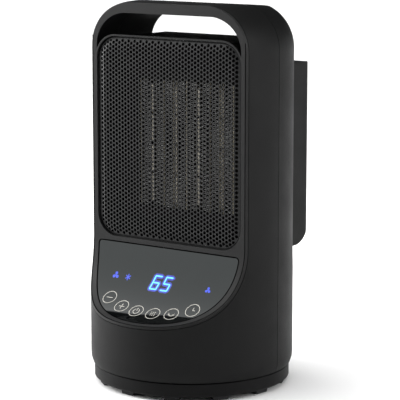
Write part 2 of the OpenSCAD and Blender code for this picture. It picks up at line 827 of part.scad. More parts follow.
// Side outline of the housing, shrunk by inset
module box_side(inset) {
    y1 = box_y - inset;
    z0 = box_z0 + inset;
    z1 = box_z1 - inset;
    r_top = 6 - inset;
    r_low = 22 - inset;
    difference() {
        union() {
            translate([rear_y - 2, z0]) square([y1 - r_low - rear_y + 2, z1 - z0]);
            translate([rear_y - 2, z0 + r_low]) square([y1 - rear_y + 2, z1 - r_top - z0 - r_low]);
            translate([rear_y - 2, z1 - r_top - 1]) square([y1 - r_top - rear_y + 2, r_top + 1]);
            translate([y1 - r_top, z1 - r_top]) circle(r_top);
            translate([y1 - r_low, z0 + r_low]) circle(r_low);
        }
        translate([0, sweep_z - eps]) square([rear_y + housing_gap, reach]);
        difference() {
            square([reach, sweep_z]);
            translate([rear_y + sweep_r, sweep_z]) circle(sweep_r - housing_gap);
        }
    }
}

// Plan outline of the housing, shrunk by inset
module box_plan(inset) {
    w = box_half_w - inset;
    r = 5 - inset;
    translate([-w, 0]) square([2 * w, box_y - inset - r]);
    translate([-w + r, 0]) square([2 * (w - r), box_y - inset]);
    for (x = [-1, 1])
        translate([x * (w - r), box_y - inset - r]) circle(r);
}

module box_form(inset) {
    intersection() {
        along_x(reach) box_side(inset);
        linear_extrude(reach * 2) box_plan(inset);
    }
}

intake_w = 104;
intake_h = 128;
intake_z = 208;
housing_t = 2.4;

module intake_housing() color("#2b2c2e") difference() {
    union() {
        difference() {
            box_form(0);
            box_form(housing_t);
        }
        for (x = [-1, 1], z = housing_screw_z)
            rod_y(x * housing_screw_x, z, 3.6, rear_y + housing_gap, box_y - 1);
    }
    along_y(box_y - 4, box_y + 1) translate([0, intake_z]) rounded_rect(intake_w, intake_h, 6);
    for (x = [-1, 1], z = housing_screw_z)
        rod_y(x * housing_screw_x, z, screw_r, rear_y, rear_y + 14);
}

module housing_screws() color("#8d9094") {
    for (x = [-1, 1], z = housing_screw_z) {
        rod_y(x * housing_screw_x, z, screw_r, rear_y - wall, rear_y + 10);
        rod_y(x * housing_screw_x, z, screw_head_r, rear_y - wall - 2, rear_y - wall);
    }
}

// Louvre: a rim, sloping slats and two upright bars
module intake_grille() color("#242527") translate([0, 0, intake_z]) {
    slats = 17;
    rim = 4;
    depth = 2.4;
    slat_t = 1.6;
    bar_w = 2;
    mid_y = box_y - 1.7;
    inner_w = intake_w - 2 * rim;
    inner_h = intake_h - 2 * rim;
    along_y(box_y - 3.2, box_y - 0.2) difference() {
        rounded_rect(intake_w - 0.6, intake_h - 0.6, 5.7);
        rounded_rect(inner_w, inner_h, 3);
    }
    for (i = [0:slats - 1])
        translate([0, mid_y, (i - (slats - 1) / 2) * inner_h / slats])
            rotate([-30, 0, 0]) cube([inner_w + 2, depth, slat_t], center = true);
    for (x = [-inner_w / 6, inner_w / 6])
        translate([x, mid_y, 0]) cube([bar_w, depth, inner_h + 2], center = true);
}

// Filter frame with a coarse mesh of square openings
module dust_filter() color("#4a4d52") translate([0, 0, intake_z]) {
    back_y = box_y - 6;
    mesh_pitch = 9;
    mesh_t = 0.8;
    along_y(back_y - 3, back_y) difference() {
        rounded_rect(intake_w + 2, intake_h + 2, 5);
        rounded_rect(intake_w - 6, intake_h - 6, 3);
    }
    along_y(back_y - 2, back_y - 2 + mesh_t) difference() {
        square([intake_w - 4, intake_h - 4], center = true);
        for (i = [-5:5], j = [-6:6])
            translate([i * mesh_pitch, j * mesh_pitch]) square(mesh_pitch - 1, center = true);
    }
}

// ---------- electronics and drive ----------

// Upright board with two relays, a transformer and a capacitor
module power_board() color("#2a6a42") translate([-58, 0, floor_top_z + 4]) {
    board_t = 1.6;
    relay = [16, 19, 15];
    translate([0, -42, 0]) cube([board_t, 70, 64]);
    for (z = [8, 30])
        translate([board_t, -34, z]) cube(relay);
    translate([board_t, -6, 34]) cube([15, 22, 18]);
    translate([board_t, 2, 16]) rotate([0, 90, 0]) cylinder(r = 6, h = 14);
}

module sweep_motor() color("#a9acb0") translate([0, drive_y, ear_z]) difference() {
    union() {
        translate([0, 0, ear_t]) cylinder(r = drive_r, h = drive_len);
        linear_extrude(ear_t) {
            square([2 * ear_x, 2 * ear_r], center = true);
            for (x = [-ear_x, ear_x]) translate([x, 0]) circle(ear_r);
        }
    }
    translate([0, 0, -1]) cylinder(r = pin_r + run_gap, h = 17);
    for (x = [-ear_x, ear_x])
        translate([x, 0, -1]) cylinder(r = pin_screw_r + 0.2, h = ear_t + 1.8);
}

module sweep_motor_screws() color("#8d9094") {
    for (x = [-ear_x, ear_x])
        screw_z(x, drive_y, ear_z + ear_t, 9, false, pin_screw_r, pin_head_r);
}

module drive_pinion() color("#d9d6cb") translate([0, drive_y, pinion_z]) difference() {
    linear_extrude(gear_h + 0.7) {
        circle(pinion_r - dedendum);
        for (i = [0:pinion_teeth - 1])
            rotate((i + 0.5) * 360 / pinion_teeth) tooth(pinion_teeth, backlash);
    }
    translate([0, 0, -1]) cylinder(r = pin_r, h = gear_h + 4);
}

module pinion_shaft() color("#c8cacc") translate([0, drive_y, pinion_z]) cylinder(r = pin_r, h = 22);

base_shell();
base_cover();
rubber_feet();
base_screws();
ballast_ring();
slide_ring();
sector_gear();
gear_screws();
cord_gland();
tip_switch();
tip_plunger();
head_floor();
front_shell();
rear_shell();
shell_screws();
front_frame();
outlet_grille();
control_lens();
control_board();
display_module();
touch_springs();
outlet_duct();
heater_frame();
ptc_tubes();
ceramic_stones();
heater_fins();
heater_terminals();
thermal_cutout();
thermal_fuse();
fan_shroud();
motor_mount();
motor_can();
motor_stator();
motor_bushes();
intake_housing();
intake_grille();
dust_filter();
housing_screws();
power_board();
sweep_motor();
sweep_motor_screws();
impeller();
impeller_nut();
motor_shaft();
motor_rotor();
drive_pinion();
pinion_shaft();
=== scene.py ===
"""Looks for an oscillating tabletop ceramic heater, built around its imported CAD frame."""
import json
import math

import bmesh
import bpy
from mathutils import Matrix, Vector


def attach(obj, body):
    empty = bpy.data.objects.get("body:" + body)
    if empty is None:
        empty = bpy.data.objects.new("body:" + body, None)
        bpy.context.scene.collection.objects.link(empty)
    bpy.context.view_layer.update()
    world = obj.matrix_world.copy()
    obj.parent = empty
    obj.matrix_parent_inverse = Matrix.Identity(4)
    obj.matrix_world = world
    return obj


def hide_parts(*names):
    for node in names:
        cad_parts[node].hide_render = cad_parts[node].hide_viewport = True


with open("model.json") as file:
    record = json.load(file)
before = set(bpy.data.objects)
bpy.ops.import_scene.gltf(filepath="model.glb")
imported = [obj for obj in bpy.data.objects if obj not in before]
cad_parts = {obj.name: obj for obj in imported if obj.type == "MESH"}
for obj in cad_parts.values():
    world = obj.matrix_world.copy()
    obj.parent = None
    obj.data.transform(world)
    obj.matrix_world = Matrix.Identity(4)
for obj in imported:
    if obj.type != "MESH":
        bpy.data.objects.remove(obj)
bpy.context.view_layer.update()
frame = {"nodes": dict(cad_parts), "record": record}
nodes = frame["nodes"]
MM = 0.001                  # this script's own pieces are drawn in millimetres

# ---------------------------------------------------------------- camera, floor, lights (metres, degrees)

CAMERA_AZIMUTH = 36         # to the right of the grille's front
CAMERA_YAW = 0.258          # turned this much off the tower's axis
CAMERA_PITCH = 9.583        # looking down
CAMERA_DISTANCE = 1.6309
CAMERA_HEIGHT = 0.4363
CAMERA_LENS, SENSOR_WIDTH = 168.06, 36

FLOOR_R, FLOOR_CURVE_R, WALL_RISE = 2.6, 0.35, 0.4
WALL_OPENING = (-0.95, -0.31, 0)            # its direction, as around() takes it
WALL_FADE = (0.75, 0.93)    # the wall sinks between these cosines of the angle from its opening
PAPER = (0.93, 0.93, 0.93, 1)

DOME_BRIGHT, DOME_DARK = 2.2, 0.02
# Three directions, and the cosines of the angle from each between which the dome fades to dark. The first
# two are as around() takes them, and the third is in the object's own frame.
CAMERA_SIDE, CAMERA_SIDE_FADE = (0, -1, 0), (0.35, 0.6)
RIGHT_BACK, RIGHT_BACK_FADE = (0.5, 0.87, 0), (0.35, 0.7)
TOP_BACK, TOP_BACK_FADE = (0, math.sqrt(0.5), math.sqrt(0.5)), (0.725, 0.745)

TOWER_MIDDLE = (0, 0, 0.17)


def aim(obj, place, target):
    """Puts obj at place, looking at target."""
    obj.location = place
    obj.rotation_euler = (Vector(target) - Vector(place)).to_track_quat("-Z", "Y").to_euler()


def link(obj):
    bpy.context.scene.collection.objects.link(obj)
    return obj


def make_camera():
    azimuth = math.radians(CAMERA_AZIMUTH)
    heading = math.radians(CAMERA_AZIMUTH - CAMERA_YAW)
    pitch = math.radians(CAMERA_PITCH)
    data = bpy.data.cameras.new("camera")
    data.lens = CAMERA_LENS
    data.sensor_width = SENSOR_WIDTH
    obj = link(bpy.data.objects.new("camera", data))
    place = Vector((CAMERA_DISTANCE * math.sin(azimuth), -CAMERA_DISTANCE * math.cos(azimuth), CAMERA_HEIGHT))
    level = math.cos(pitch)
    look = Vector((-math.sin(heading) * level, math.cos(heading) * level, -math.sin(pitch)))
    aim(obj, place, place + look)
    bpy.context.scene.camera = obj


def around(right, back, height):
    """A place given by its distance to the right of and behind the object, as the camera sees it."""
    turn = math.radians(CAMERA_AZIMUTH)
    x = right * math.cos(turn) - back * math.sin(turn)
    y = right * math.sin(turn) + back * math.cos(turn)
    return (x, y, height)


def area_light(name, place, target, width, height, power, mirrored=True):
    """A soft box; glossy surfaces don't mirror it where mirrored is False."""
    data = bpy.data.lights.new(name, "AREA")
    data.shape = "RECTANGLE"
    data.size, data.size_y = width, height
    data.energy = power
    obj = link(bpy.data.objects.new(name, data))
    obj.visible_camera = False
    obj.visible_glossy = mirrored
    aim(obj, place, target)


def make_floor():
    """A round white floor whose edge curves up into a low wall, open where the panel mirrors the studio."""
    flat_steps, curve_steps, around_steps = 6, 12, 96
    profile = [(FLOOR_R * i / flat_steps, 0.0) for i in range(flat_steps + 1)]
    for i in range(1, curve_steps + 1):
        bend = math.radians(90 * i / curve_steps)
        profile.append((FLOOR_R + FLOOR_CURVE_R * math.sin(bend), FLOOR_CURVE_R * (1 - math.cos(bend))))
    profile.append((FLOOR_R + FLOOR_CURVE_R, WALL_RISE))
    mesh = bpy.data.meshes.new("floor")
    bm = bmesh.new()
    centre = bm.verts.new((0, 0, 0))
    opening = Vector(around(*WALL_OPENING))

    def point(r, z, k):
        turn = math.tau * k / around_steps
        out = Vector((math.cos(turn), math.sin(turn), 0))
        rise = min(1.0, max(0.0, (WALL_FADE[1] - out.dot(opening)) / (WALL_FADE[1] - WALL_FADE[0])))
        return bm.verts.new(out * r + Vector((0, 0, z * rise * rise * (3 - 2 * rise))))

    rings = [[point(r, z, k) for k in range(around_steps)] for r, z in profile[1:]]
    for k in range(around_steps):
        nxt = (k + 1) % around_steps
        bm.faces.new((centre, rings[0][k], rings[0][nxt]))
        for low, high in zip(rings, rings[1:]):
            bm.faces.new((low[k], high[k], high[nxt], low[nxt]))
    for face in bm.faces:
        face.smooth = True
    bm.to_mesh(mesh)
    bm.free()
    floor = link(bpy.data.objects.new("floor", mesh))
    mat = bpy.data.materials.new("floor_paper")
    mat.use_nodes = True
    shader = mat.node_tree.nodes["Principled BSDF"]
    shader.inputs["Base Color"].default_value = PAPER
    shader.inputs["Roughness"].default_value = 0.9
    shader.inputs["Specular IOR Level"].default_value = 0.2
    mesh.materials.append(mat)


def make_dome():
    """World light: white, but dark around the camera, at the right-hand back and high at the back."""
    world = bpy.data.worlds.new("studio")
    world.use_nodes = True
    tree = world.node_tree
    coords = tree.nodes.new("ShaderNodeTexCoord")

    def away_from(direction, low, high):
        """1 where the cosine of the angle from a direction is below low, falling to 0 above high."""
        dot = tree.nodes.new("ShaderNodeVectorMath")
        dot.operation = "DOT_PRODUCT"
        tree.links.new(coords.outputs["Generated"], dot.inputs[0])
        dot.inputs[1].default_value = direction
        step = tree.nodes.new("ShaderNodeMapRange")
        step.interpolation_type = "SMOOTHSTEP"
        for name, value in (("From Min", low), ("From Max", high), ("To Min", 1.0), ("To Max", 0.0)):
            step.inputs[name].default_value = value
        tree.links.new(dot.outputs["Value"], step.inputs["Value"])
        return step.outputs["Result"]

    def product(first, second):
        node = tree.nodes.new("ShaderNodeMath")
        node.operation = "MULTIPLY"
        tree.links.new(first, node.inputs[0])
        tree.links.new(second, node.inputs[1])
        return node.outputs["Value"]

    sides = product(away_from(around(*CAMERA_SIDE), *CAMERA_SIDE_FADE),
                    away_from(around(*RIGHT_BACK), *RIGHT_BACK_FADE))
    lit = product(sides, away_from(TOP_BACK, *TOP_BACK_FADE))
    level = tree.nodes.new("ShaderNodeMapRange")
    level.inputs["To Min"].default_value = DOME_DARK
    level.inputs["To Max"].default_value = DOME_BRIGHT
    tree.links.new(lit, level.inputs["Value"])
    tree.nodes["Background"].inputs["Color"].default_value = (1, 1, 1, 1)
    tree.links.new(level.outputs["Result"], tree.nodes["Background"].inputs["Strength"])
    bpy.context.scene.world = world


def make_studio():
    scene = bpy.context.scene
    scene.view_settings.view_transform = "Standard"
    scene.view_settings.look = "None"
    make_dome()
    make_floor()
    for light in LIGHTS:
        area_light(**light)


LIGHTS = (
    {"name": "backdrop_wash", "place": around(-0.2, 1.5, 2.3), "target": around(0, 1.7, 0.0),
     "width": 3.2, "height": 1.4, "power": 26, "mirrored": False},
    {"name": "key_left", "place": around(-1.45, 0.5, 0.6), "target": TOWER_MIDDLE,
     "width": 0.4, "height": 1.1, "power": 24},
    {"name": "fill_right", "place": around(1.35, -0.6, 0.6), "target": TOWER_MIDDLE,
     "width": 0.5, "height": 1.2, "power": 8},
    {"name": "overhead", "place": (0, 0, 2.4), "target": (0, 0, 0),
     "width": 1.6, "height": 1.6, "power": 14},
)
make_camera()
make_studio()

# ---------------------------------------------------------------- materials

class Nodes:
    """A small helper that adds shader nodes to one material."""

    def __init__(self, name):
        self.mat = bpy.data.materials.new(name)
        self.mat.use_nodes = True
        self.tree = self.mat.node_tree
        self.shader = self.tree.nodes["Principled BSDF"]
        self.coords = self.tree.nodes.new("ShaderNodeTexCoord").outputs["Object"]

    def add(self, kind, links=None, **settings):
        node = self.tree.nodes.new(kind)
        for key, value in settings.items():
            setattr(node, key, value)
        for socket, value in (links or {}).items():
            self.put(node.inputs[socket], value)
        return node

    def put(self, socket, value):
        if isinstance(value, bpy.types.NodeSocket):
            self.tree.links.new(value, socket)
        else:
            socket.default_value = value

    def noise(self, scale, detail=4.0, roughness=0.55):
        return self.add("ShaderNodeTexNoise", {
            "Vector": self.coords, "Scale": scale, "Detail": detail, "Roughness": roughness}).outputs["Fac"]

    def ramp(self, fac, low, high, at=(0.35, 0.65)):
        """A colour that runs from low to high."""
        node = self.add("ShaderNodeValToRGB", {"Fac": fac})
        node.color_ramp.elements[0].position, node.color_ramp.elements[1].position = at
        node.color_ramp.elements[0].color = (*low, 1)
        node.color_ramp.elements[1].color = (*high, 1)
        return node.outputs["Color"]

    def spread(self, fac, low, high, at=(0.3, 0.7)):
        """A number that runs from low to high."""
        inputs = {"Value": fac, "From Min": at[0], "From Max": at[1], "To Min": low, "To Max": high}
        return self.add("ShaderNodeMapRange", inputs).outputs["Result"]

    def mix(self, share, first, second):
        """A colour between first and second, which are colours or links."""
        node = self.add("ShaderNodeMix", {"Factor": share}, data_type="RGBA")
        for socket, value in (("A", first), ("B", second)):
            self.put(node.inputs[socket], (*value, 1) if isinstance(value, tuple) else value)
        return node.outputs["Result"]

    def bump(self, height, distance, normal=None):
        """A normal from a height of 0 to 1 that stands for the distance, in metres."""
        links = {"Height": height, "Distance": distance}
        if normal is not None:
            links["Normal"] = normal
        return self.add("ShaderNodeBump", links).outputs["Normal"]

    def set(self, **values):
        """Sets the shader's inputs and returns the material."""
        for key, value in values.items():
            self.put(self.shader.inputs[key.replace("_", " ")], value)
        return self.mat


def scaled(colour, factor):
    return tuple(min(1.0, c * factor) for c in colour)


def moulded(name, colour, rough=0.42, vary=0.12, specular=0.5, edge_highlight=0.25, rim=None):
    """Moulded plastic: fine spark-eroded grain, slight flow marks, and a painted highlight that lightens its
    convex edges.
    """
    grain = 0.00004
    n = Nodes(name)
    cloud = n.noise(14, 3)
    fine = n.noise(1900, 2, 0.6)
    coarse = n.noise(520, 3, 0.6)
    base = n.ramp(cloud, scaled(colour, 1 - vary), scaled(colour, 1 + vary))
    # painted highlight: the base colour is lightened where the surface is convex, along its edges
    edge = n.spread(n.add("ShaderNodeNewGeometry").outputs["Pointiness"], 0.0, edge_highlight, (0.5, 0.62))
    tinted = n.mix(edge, base, scaled(colour, 2.2))
    if rim:
        tinted = rimmed(n, tinted, *rim)
    smudge = n.spread(n.noise(32, 4, 0.6), rough - 0.04, rough + 0.06)
    skin = n.bump(fine, grain)
    skin = n.bump(coarse, grain * 2, normal=skin)
    return n.set(Base_Color=tinted, Roughness=smudge, Normal=skin, Specular_IOR_Level=specular)


def rimmed(n, inner, colour, radius):
    """Adds an outer band in another colour, beyond a distance from the tower's axis."""
    blur = 0.00006
    flat = n.add("ShaderNodeVectorMath", {0: n.coords, 1: (1, 1, 0)}, operation="MULTIPLY")
    distance = n.add("ShaderNodeVectorMath", {0: flat.outputs["Vector"]}, operation="LENGTH")
    outside = n.spread(distance.outputs["Value"], 0.0, 1.0, (radius, radius + blur))
    return n.mix(outside, inner, colour)


def rubber(name, colour):
    """Moulded rubber: dull, with a rough skin."""
    n = Nodes(name)
    skin = n.bump(n.noise(900, 5, 0.7), 0.00009)
    base = n.ramp(n.noise(40, 4), scaled(colour, 0.7), scaled(colour, 1.5))
    dull = n.spread(n.noise(70, 4), 0.72, 0.9)
    return n.set(Base_Color=base, Roughness=dull, Normal=skin, Specular_IOR_Level=0.3)


def metal(name, colour, rough=0.3, brush=(1, 1, 60), tint=0.15, metallic=1.0):
    """Bare or plated metal with brushing drawn along one axis."""
    n = Nodes(name)
    lines = n.add("ShaderNodeMapping", {"Vector": n.coords})
    n.put(lines.inputs["Scale"], brush)
    grain = n.add("ShaderNodeTexNoise", {"Vector": lines.outputs["Vector"], "Scale": 160.0, "Detail": 3.0})
    grain = grain.outputs["Fac"]
    base = n.ramp(n.noise(45, 4), scaled(colour, 1 - tint), scaled(colour, 1 + tint))
    return n.set(Base_Color=base, Metallic=metallic, Roughness=n.spread(grain, rough - 0.07, rough + 0.1),
                 Normal=n.bump(grain, 0.00002))


def powder_coat(name, colour):
    """Powder-coated sheet metal: satin, with a fine orange-peel skin."""
    n = Nodes(name)
    skin = n.bump(n.noise(1300, 3, 0.6), 0.00006)
    base = n.ramp(n.noise(60, 4), scaled(colour, 0.85), scaled(colour, 1.15))
    satin = n.spread(n.noise(90, 3), 0.4, 0.53)
    return n.set(Base_Color=base, Roughness=satin, Normal=skin, Specular_IOR_Level=0.25)


def glossy(name, colour, rough=0.08, specular=0.5, tint=(1, 1, 1)):
    """Polished plastic: faint moulding waves and a little unevenness in its shine."""
    n = Nodes(name)
    skin = n.bump(n.noise(18, 2), 0.000024)
    skin = n.bump(n.noise(600, 3), 0.0000012, normal=skin)
    base = n.ramp(n.noise(30, 3), scaled(colour, 0.9), scaled(colour, 1.12))
    shine = n.spread(n.noise(26, 5, 0.65), rough * 0.7, rough * 1.5)
    return n.set(Base_Color=base, Roughness=shine, Normal=skin, Specular_IOR_Level=specular,
                 Specular_Tint=(*tint, 1))


def ceramic(name, colour, rough=0.6):
    """Fired ceramic with fine specks."""
    n = Nodes(name)
    specks = n.noise(700, 4, 0.7)
    base = n.ramp(specks, scaled(colour, 0.8), scaled(colour, 1.08))
    return n.set(Base_Color=base, Roughness=n.spread(specks, rough - 0.1, rough + 0.15),
                 Normal=n.bump(specks, 0.00005))


def board(name, colour):
    """Circuit board: solder resist with faint copper tracks below it."""
    n = Nodes(name)
    cells = n.add("ShaderNodeTexVoronoi", {"Vector": n.coords, "Scale": 260.0}, feature="DISTANCE_TO_EDGE")
    tracks = n.spread(cells.outputs["Distance"], 1.0, 0.0, (0.02, 0.05))
    return n.set(Base_Color=n.mix(tracks, colour, scaled(colour, 2.4)),
                 Roughness=n.spread(n.noise(120), 0.25, 0.4), Normal=n.bump(tracks, 0.00004))


SHELL_BLACK = (0.0045, 0.0046, 0.0046)
FRAME_RIM_R = 0.0895        # the frame's edge beyond this radius is as dark as the shell
MATERIALS = {
    "shell_plastic": moulded("shell_plastic", SHELL_BLACK, 0.52, specular=0.11),
    "frame_plastic": moulded("frame_plastic", (0.011, 0.0111, 0.0112), 0.5, specular=0.17,
                             rim=(SHELL_BLACK, FRAME_RIM_R)),
    "base_plastic": moulded("base_plastic", (0.003, 0.003, 0.0031), 0.52, specular=0.1),
    "inner_plastic": moulded("inner_plastic", (0.001, 0.001, 0.0011), 0.7, edge_highlight=0.1, specular=0.04),
    "grille_metal": powder_coat("grille_metal", (0.010, 0.0102, 0.0104)),
    "lens_gloss": glossy("lens_gloss", (0.002, 0.0024, 0.0025), 0.05, specular=0.38, tint=(0.93, 1.0, 1.0)),
    "rubber_black": rubber("rubber_black", (0.012, 0.012, 0.0125)),
    "screw_steel": metal("screw_steel", (0.55, 0.56, 0.58), 0.32),
    "ballast_steel": metal("ballast_steel", (0.28, 0.29, 0.3), 0.5),
    "gear_white": moulded("gear_white", (0.62, 0.6, 0.54), 0.38, vary=0.04, edge_highlight=0.05),
    "switch_grey": moulded("switch_grey", (0.05, 0.055, 0.065), 0.45),
    "board_green": board("board_green", (0.012, 0.07, 0.03)),
    "display_black": glossy("display_black", (0.012, 0.013, 0.016), 0.2),
    "spring_steel": metal("spring_steel", (0.62, 0.63, 0.65), 0.18),
    "heater_plastic": moulded("heater_plastic", (0.0012, 0.0011, 0.001), 0.7, specular=0.05),
    "tube_aluminium": metal("tube_aluminium", (0.2, 0.185, 0.15), 0.5),
    "stone_ceramic": ceramic("stone_ceramic", (0.6, 0.56, 0.48)),
    "fin_aluminium": metal("fin_aluminium", (0.34, 0.34, 0.33), 0.5, tint=0.25, metallic=0.6),
    "terminal_brass": metal("terminal_brass", (0.62, 0.45, 0.18), 0.3),
    "fuse_ceramic": ceramic("fuse_ceramic", (0.62, 0.56, 0.38), 0.35),
    "motor_steel": metal("motor_steel", (0.4, 0.41, 0.43), 0.35, brush=(1, 40, 1)),
    "bush_bronze": metal("bush_bronze", (0.55, 0.37, 0.15), 0.4),
    "impeller_plastic": moulded("impeller_plastic", (0.04, 0.044, 0.05), 0.4),
    "nut_red": moulded("nut_red", (0.3, 0.03, 0.02), 0.4),
    "filter_grey": moulded("filter_grey", (0.07, 0.075, 0.08), 0.6),
}

slot_of = {row["node"]: row["material_slot"] for row in frame["record"]["subparts"]}
for name, obj in nodes.items():
    obj.data.materials.clear()
    obj.data.materials.append(MATERIALS[slot_of[name]])


EDGE_BREAKS = {             # width of each moulded piece's rounded edges, in metres
    "front_shell": 0.0004, "rear_shell": 0.0006, "front_frame": 0.0003,
    "intake_housing": 0.0006, "base_shell": 0.0004, "rubber_feet": 0.0005,
}
SHARP_ANGLE = math.radians(35)


def round_edges(obj, width):
    """Breaks the sharp edges of a moulded piece."""
    mod = obj.modifiers.new("edge_break", "BEVEL")
    mod.width = width
    mod.segments = 2
    mod.limit_method = "ANGLE"
    mod.angle_limit = SHARP_ANGLE
    mod.use_clamp_overlap = True
    shade = obj.modifiers.new("face_shading", "WEIGHTED_NORMAL")
    shade.mode = "FACE_AREA_WITH_ANGLE"
    shade.weight = 50


def weld(obj):
    """Joins the points that neighbouring CAD faces share."""
    mod = obj.modifiers.new("weld", "WELD")
    mod.merge_threshold = 0.00001


for name, width in EDGE_BREAKS.items():
    weld(nodes[name])
    round_edges(nodes[name], width)


# ---------------------------------------------------------------- mesh helpers

def piece(name, verts, faces, material, body, smooth=True):
    """A named mesh piece that rides on a body of the frame; sizes in millimetres."""
    mesh = bpy.data.meshes.new(name)
    mesh.from_pydata([(x * MM, y * MM, z * MM) for x, y, z in verts], [], faces)
    mesh.validate()
    bm = bmesh.new()
    bm.from_mesh(mesh)
    bmesh.ops.recalc_face_normals(bm, faces=bm.faces)
    bm.to_mesh(mesh)
    bm.free()
    for poly in mesh.polygons:
        poly.use_smooth = smooth
    obj = link(bpy.data.objects.new(name, mesh))
    mesh.materials.append(material)
    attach(obj, body)
    return obj


class Builder:
    """Collects vertices and faces of several closed shells."""

    def __init__(self, place):
        self.verts = []
        self.faces = []
        self.place = place          # maps (u, v, lift) to (x, y, z)

    def prism(self, outline, low, high):
        """A flat plate with the given outline, from one lift to another."""
        n = len(outline)
        base = len(self.verts)
        for lift in (low, high):
            self.verts += [self.place(u, v, lift) for u, v in outline]
        self.faces.append([base + i for i in range(n)][::-1])
        self.faces.append([base + n + i for i in range(n)])
        for i in range(n):
            j = (i + 1) % n
            self.faces.append([base + i, base + j, base + n + j, base + n + i])

    def ribbon(self, points, width, low, high, closed=False):
        """A raised line along the points; width is one number or one per point."""
        n = len(points)
        widths = width if isinstance(width, list) else [width] * n
        base = len(self.verts)
        for i, (u, v) in enumerate(points):
            before = points[i - 1] if closed or i else points[i]
            after = points[(i + 1) % n] if closed or i < n - 1 else points[i]
            du, dv = after[0] - before[0], after[1] - before[1]
            length = math.hypot(du, dv)
            nu, nv = -dv / length * widths[i] / 2, du / length * widths[i] / 2
            for side, lift in ((1, low), (-1, low), (-1, high), (1, high)):
                self.verts.append(self.place(u + side * nu, v + side * nv, lift))
        for i in range(n if closed else n - 1):
            a, b = base + 4 * i, base + 4 * ((i + 1) % n)
            for k in range(4):
                m = (k + 1) % 4
                self.faces.append([a + k, b + k, b + m, a + m])
        if not closed:
            last = base + 4 * (n - 1)
            self.faces.append([base, base + 1, base + 2, base + 3])
            self.faces.append([last + 3, last + 2, last + 1, last])


def arc(u, v, r, start=0.0, end=360.0, steps=32):
    """Points on a circle, in degrees, without repeating the first one on a full turn."""
    count = steps if abs(end - start) >= 360 else steps + 1
    turns = [math.radians(start + (end - start) * i / steps) for i in range(count)]
    return [(u + r * math.cos(turn), v + r * math.sin(turn)) for turn in turns]


# ---------------------------------------------------------------- control panel: lens, digits and touch rings

FACE_Y = -36.0              # flat front face of the frame
SWEEP_R = 67.0              # concave sweep of the frame below the face
SWEEP_CENTRE_Y = FACE_Y - SWEEP_R           # its axis
SWEEP_CENTRE_Z = 130.3
LENS_R = SWEEP_R + 0.2      # the lens lies 0.2 below the frame


def on_lens(x, down, lift):
    """Point on the lens: x across, down along the sweep, lift towards the viewer."""
    angle = down / SWEEP_R
    r = LENS_R - lift
    return (x, SWEEP_CENTRE_Y + r * math.cos(angle), SWEEP_CENTRE_Z - r * math.sin(angle))


LENS_TOP_Z = 123.3
LENS_TOWER_R = 84.4         # the lens's outline about the tower's axis
LENS_HALF_W = math.sqrt(LENS_TOWER_R ** 2 - FACE_Y ** 2)
LENS_T = 2.0
LENS_EDGE = 0.18            # rounding of its edge, and what it is short of its seat
LENS_CORNER = 4.0
LENS_TRIM = 0.0005          # its lowest row stops this angle short of its lowest point
LENS_TIP_HALF_W = 0.4       # least half width of a row
LENS_ROWS, LENS_COLUMNS = 72, 24


def lens_half_width(angle):
    """Half the width of the lens at an angle down the sweep."""
    y = SWEEP_CENTRE_Y + LENS_R * math.cos(angle)
    half = math.sqrt(max(0.0, LENS_TOWER_R ** 2 - y * y)) if abs(y) < LENS_TOWER_R else 0.0
    below_top = LENS_TOP_Z - (SWEEP_CENTRE_Z - LENS_R * math.sin(angle))
    if below_top < LENS_CORNER:
        round_off = math.sqrt(max(0.0, LENS_CORNER ** 2 - (LENS_CORNER - below_top) ** 2))
        half = min(half, LENS_HALF_W - LENS_CORNER + round_off)
    return half - LENS_EDGE


def lens_outline():
    """Right-hand half of the lens's outline: half width and distance down the sweep, from the top."""
    top = math.asin((SWEEP_CENTRE_Z - LENS_TOP_Z + LENS_EDGE) / LENS_R)
    bottom = math.acos((-LENS_TOWER_R + LENS_EDGE - SWEEP_CENTRE_Y) / LENS_R)
    angles = [top + (bottom - top) * 0.5 * (1 - math.cos(math.pi * i / LENS_ROWS))
              for i in range(LENS_ROWS + 1)]
    angles[-1] -= LENS_TRIM
    return [(lens_half_width(a), a * SWEEP_R) for a in angles]


def build_lens():
    """Curved lens: a dense sheet with a rounded edge, closed by side walls and a back."""
    rows, columns = LENS_ROWS, LENS_COLUMNS
    outline = lens_outline()
    verts, faces = [], []

    def sheet(inset, lift):
        start = len(verts)
        first, last = outline[0][1], outline[-1][1]
        for half, down in outline:
            row = first + inset + (down - first) * (last - first - 2 * inset) / (last - first)
            for k in range(columns + 1):
                share = math.sin(math.pi / 2 * (2 * k / columns - 1))
                verts.append(on_lens(share * max(half - inset, LENS_TIP_HALF_W), row, lift))
        return start

    def index(start, i, k):
        return start + i * (columns + 1) + k

    def rim(start):
        loop = [index(start, 0, k) for k in range(columns + 1)]
        loop += [index(start, i, columns) for i in range(1, rows + 1)]
        loop += [index(start, rows, k) for k in range(columns - 1, -1, -1)]
        return loop + [index(start, i, 0) for i in range(rows - 1, 0, -1)]

    front, back = sheet(LENS_EDGE, 0.0), sheet(0.0, -LENS_T)
    for start in (front, back):
        for i in range(rows):
            for k in range(columns):
                faces.append([index(start, i, k), index(start, i, k + 1),
                              index(start, i + 1, k + 1), index(start, i + 1, k)])
    ring = [len(verts) + i for i in range(len(rim(back)))]
    for i in rim(back):
        x, y, z = verts[i]
        y, z = y - SWEEP_CENTRE_Y, z - SWEEP_CENTRE_Z
        share = (LENS_R + LENS_EDGE) / math.hypot(y, z)
        verts.append((x, SWEEP_CENTRE_Y + y * share, SWEEP_CENTRE_Z + z * share))
    for lower, upper in ((rim(back), ring), (ring, rim(front))):
        for i in range(len(ring)):
            j = (i + 1) % len(ring)
            faces.append([lower[i], lower[j], upper[j], upper[i]])
    obj = piece("control_lens_sheet", verts, faces, MATERIALS["lens_gloss"], "head")
    shade = obj.modifiers.new("face_shading", "WEIGHTED_NORMAL")
    shade.mode = "FACE_AREA_WITH_ANGLE"
    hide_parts("control_lens")


